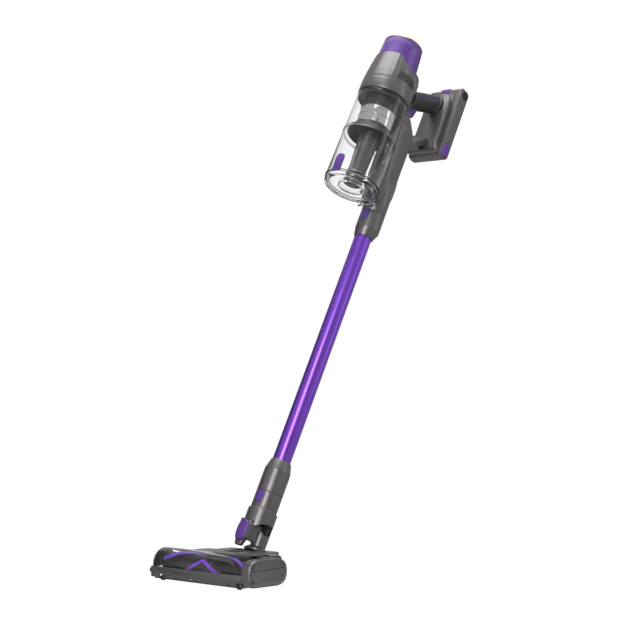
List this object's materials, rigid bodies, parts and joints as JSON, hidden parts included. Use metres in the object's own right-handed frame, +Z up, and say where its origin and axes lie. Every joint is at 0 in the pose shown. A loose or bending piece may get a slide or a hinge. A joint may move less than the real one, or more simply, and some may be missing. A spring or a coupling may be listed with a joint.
{
  "type": "cordless stick vacuum cleaner",
  "caption": "Cordless stick vacuum with a powered floor head on a swivel neck, long metal wand, clear cyclone dust cup, filter cap, looped handle and clip-on battery.",
  "frame": {"origin": "on the flat underside of the floor head, on its centreline, just behind the brush slot", "axes": "+X to the right along the floor head, +Y from the head's front to its back, +Z up"},
  "size_m": [0.25, 0.6256, 1.0368],
  "materials": {
    "grey_plastic": "satin warm grey",
    "dark_plastic": "satin dark grey",
    "black_gloss": "gloss black",
    "soft_grip": "soft black",
    "purple_plastic": "satin purple",
    "purple_anodised": "anodised purple",
    "clear_plastic": "clear polycarbonate",
    "chrome_mesh": "bright perforated metal",
    "gold_ring": "polished gold",
    "rubber": "matt black",
    "steel": "brushed",
    "filter_paper": "pleated white",
    "purple_bristle": "dense purple nylon"
  },
  "bodies": {
    "main_body": {"spine": "grey_plastic", "motor_housing": "grey_plastic", "vent_panel": "dark_plastic", "fan_motor": "dark_plastic", "grip": "soft_grip", "dock_bar": "grey_plastic", "lower_strut": "grey_plastic", "pre_filter": "dark_plastic", "shroud_band": "grey_plastic", "mesh_screen": "chrome_mesh", "cyclone_skirt": "dark_plastic", "cyclone_cone": "grey_plastic"},
    "fan": {"impeller": "steel"},
    "filter_unit": {"filter_cap": "purple_plastic", "cap_ring": "gold_ring", "hepa_filter": "filter_paper"},
    "trigger": {"trigger": "purple_plastic"},
    "battery": {"battery_pack": "grey_plastic"},
    "battery_button": {"battery_button": "purple_plastic"},
    "battery_clip_left": {"battery_clip_left": "purple_plastic"},
    "battery_clip_right": {"battery_clip_right": "purple_plastic"},
    "dust_cup": {"dust_cup": "clear_plastic", "cup_ring": "clear_plastic", "lid_pin": "steel"},
    "cup_latch": {"cup_latch": "purple_plastic"},
    "cup_lid": {"cup_lid": "clear_plastic", "lid_seal": "rubber"},
    "wand": {"wand_tube": "purple_anodised", "wand_lower_collar": "grey_plastic", "wand_upper_collar": "grey_plastic"},
    "wand_button": {"wand_button": "purple_plastic"},
    "neck": {"neck_tube": "grey_plastic", "neck_socket": "grey_plastic", "front_arm": "grey_plastic", "elbow_hose": "black_gloss"},
    "neck_button": {"neck_button": "purple_plastic"},
    "head_release_button": {"head_release_button": "purple_plastic"},
    "yoke": {"neck_yoke": "dark_plastic", "pitch_pin": "steel"},
    "head": {"head_chassis": "dark_plastic", "sole_plate": "grey_plastic", "front_strip": "grey_plastic", "brush_window": "clear_plastic", "end_cap_left": "clear_plastic", "end_cap_right": "grey_plastic", "bridge_cover": "grey_plastic", "rear_shroud_left": "black_gloss", "rear_shroud_right": "black_gloss", "brush_motor": "steel", "drive_belt": "rubber"},
    "brush": {"brush_roller": "dark_plastic", "bristle_strip_1": "purple_bristle", "bristle_strip_2": "purple_bristle", "bristle_strip_3": "purple_bristle", "brush_pulley": "dark_plastic"},
    "motor_pulley": {"motor_pulley": "steel"},
    "front_wheel_left": {"front_wheel_left": "dark_plastic"},
    "front_wheel_right": {"front_wheel_right": "dark_plastic"},
    "rear_wheel_left": {"rear_wheel_left": "rubber"},
    "rear_wheel_right": {"rear_wheel_right": "rubber"}
  },
  "joints": [
    {"name": "wand_release", "type": "slide", "parent": "main_body", "child": "wand", "axis": [-0.0721, -0.4003, -0.9135], "range_m": [0, 0.03]},
    {"name": "neck_release", "type": "slide", "parent": "wand", "child": "neck", "axis": [-0.0721, -0.4003, -0.9135], "range_m": [0, 0.034]},
    {"name": "neck_pitch", "type": "hinge", "parent": "neck", "child": "yoke", "pos_m": [0, 0.0543, 0.0296], "axis": [0.9969, 0, -0.0786], "range_deg": [-23.6, 55]},
    {"name": "neck_roll", "type": "hinge", "parent": "yoke", "child": "head", "pos_m": [0, 0.0543, 0.0296], "axis": [0, 1, 0], "range_deg": [-12, 21]},
    {"name": "brush_spin", "type": "hinge", "parent": "head", "child": "brush", "pos_m": [0, -0.0425, 0.0226], "axis": [1, 0, 0], "continuous": true},
    {"name": "motor_pulley_spin", "type": "hinge", "parent": "head", "child": "motor_pulley", "pos_m": [0.1115, 0.0055, 0.0211], "axis": [1, 0, 0], "continuous": true},
    {"name": "front_wheel_left_spin", "type": "hinge", "parent": "head", "child": "front_wheel_left", "pos_m": [-0.0975, -0.0665, 0.0022], "axis": [1, 0, 0], "continuous": true},
    {"name": "rear_wheel_left_spin", "type": "hinge", "parent": "head", "child": "rear_wheel_left", "pos_m": [-0.05, 0.048, 0.0065], "axis": [1, 0, 0], "continuous": true},
    {"name": "front_wheel_right_spin", "type": "hinge", "parent": "head", "child": "front_wheel_right", "pos_m": [0.0975, -0.0665, 0.0022], "axis": [1, 0, 0], "continuous": true},
    {"name": "rear_wheel_right_spin", "type": "hinge", "parent": "head", "child": "rear_wheel_right", "pos_m": [0.05, 0.048, 0.0065], "axis": [1, 0, 0], "continuous": true},
    {"name": "wand_button_press", "type": "slide", "parent": "wand", "child": "wand_button", "axis": [-0.0315, 0.9164, -0.3991], "range_m": [0, 0.0015], "stiffness_N_per_m": 900, "springref_m": -0.0006},
    {"name": "neck_button_press", "type": "slide", "parent": "neck", "child": "neck_button", "axis": [-0.0315, 0.9164, -0.3991], "range_m": [0, 0.0015], "stiffness_N_per_m": 900, "springref_m": -0.0006},
    {"name": "head_release_press", "type": "slide", "parent": "neck", "child": "head_release_button", "axis": [-0.0315, 0.9164, -0.3991], "range_m": [0, 0.0006], "stiffness_N_per_m": 900, "springref_m": -0.0006},
    {"name": "cup_release", "type": "slide", "parent": "main_body", "child": "dust_cup", "axis": [-0.0721, -0.4003, -0.9135], "range_m": [0, 0.2]},
    {"name": "latch_press", "type": "slide", "parent": "dust_cup", "child": "cup_latch", "axis": [-0.0721, -0.4003, -0.9135], "range_m": [0, 0.003], "stiffness_N_per_m": 800, "springref_m": -0.001},
    {"name": "lid_open", "type": "hinge", "parent": "dust_cup", "child": "cup_lid", "pos_m": [0.05214, 0.29769, 0.69056], "axis": [0.9969, 0, -0.0786], "range_deg": [0, 85]},
    {"name": "cap_pull", "type": "slide", "parent": "main_body", "child": "filter_unit", "axis": [0.0721, 0.4003, 0.9135], "range_m": [0, 0.06]},
    {"name": "battery_pull", "type": "slide", "parent": "main_body", "child": "battery", "axis": [-0.0315, 0.9164, -0.3991], "range_m": [0, 0.04]},
    {"name": "battery_button_press", "type": "slide", "parent": "battery", "child": "battery_button", "axis": [-0.0721, -0.4003, -0.9135], "range_m": [0, 0.0015], "stiffness_N_per_m": 900, "springref_m": -0.0006},
    {"name": "battery_clip_left_press", "type": "slide", "parent": "battery", "child": "battery_clip_left", "axis": [0.9969, 0, -0.0786], "range_m": [0, 0.002], "stiffness_N_per_m": 900, "springref_m": -0.0006},
    {"name": "battery_clip_right_press", "type": "slide", "parent": "battery", "child": "battery_clip_right", "axis": [-0.9969, 0, 0.0786], "range_m": [0, 0.002], "stiffness_N_per_m": 900, "springref_m": -0.0006},
    {"name": "trigger_pull", "type": "hinge", "parent": "main_body", "child": "trigger", "pos_m": [0.06948, 0.41962, 0.91051], "axis": [0.9969, 0, -0.0786], "range_deg": [0, 9], "stiffness_Nm_per_rad": 0.3, "springref_deg": -6.88},
    {"name": "fan_spin", "type": "hinge", "parent": "main_body", "child": "fan", "pos_m": [0.06923, 0.33722, 0.90724], "axis": [0.0721, 0.4003, 0.9135], "continuous": true}
  ],
  "couplings": [
    {"joint": "motor_pulley_spin", "follows": "brush_spin", "ratio": 1.8333}
  ]
}
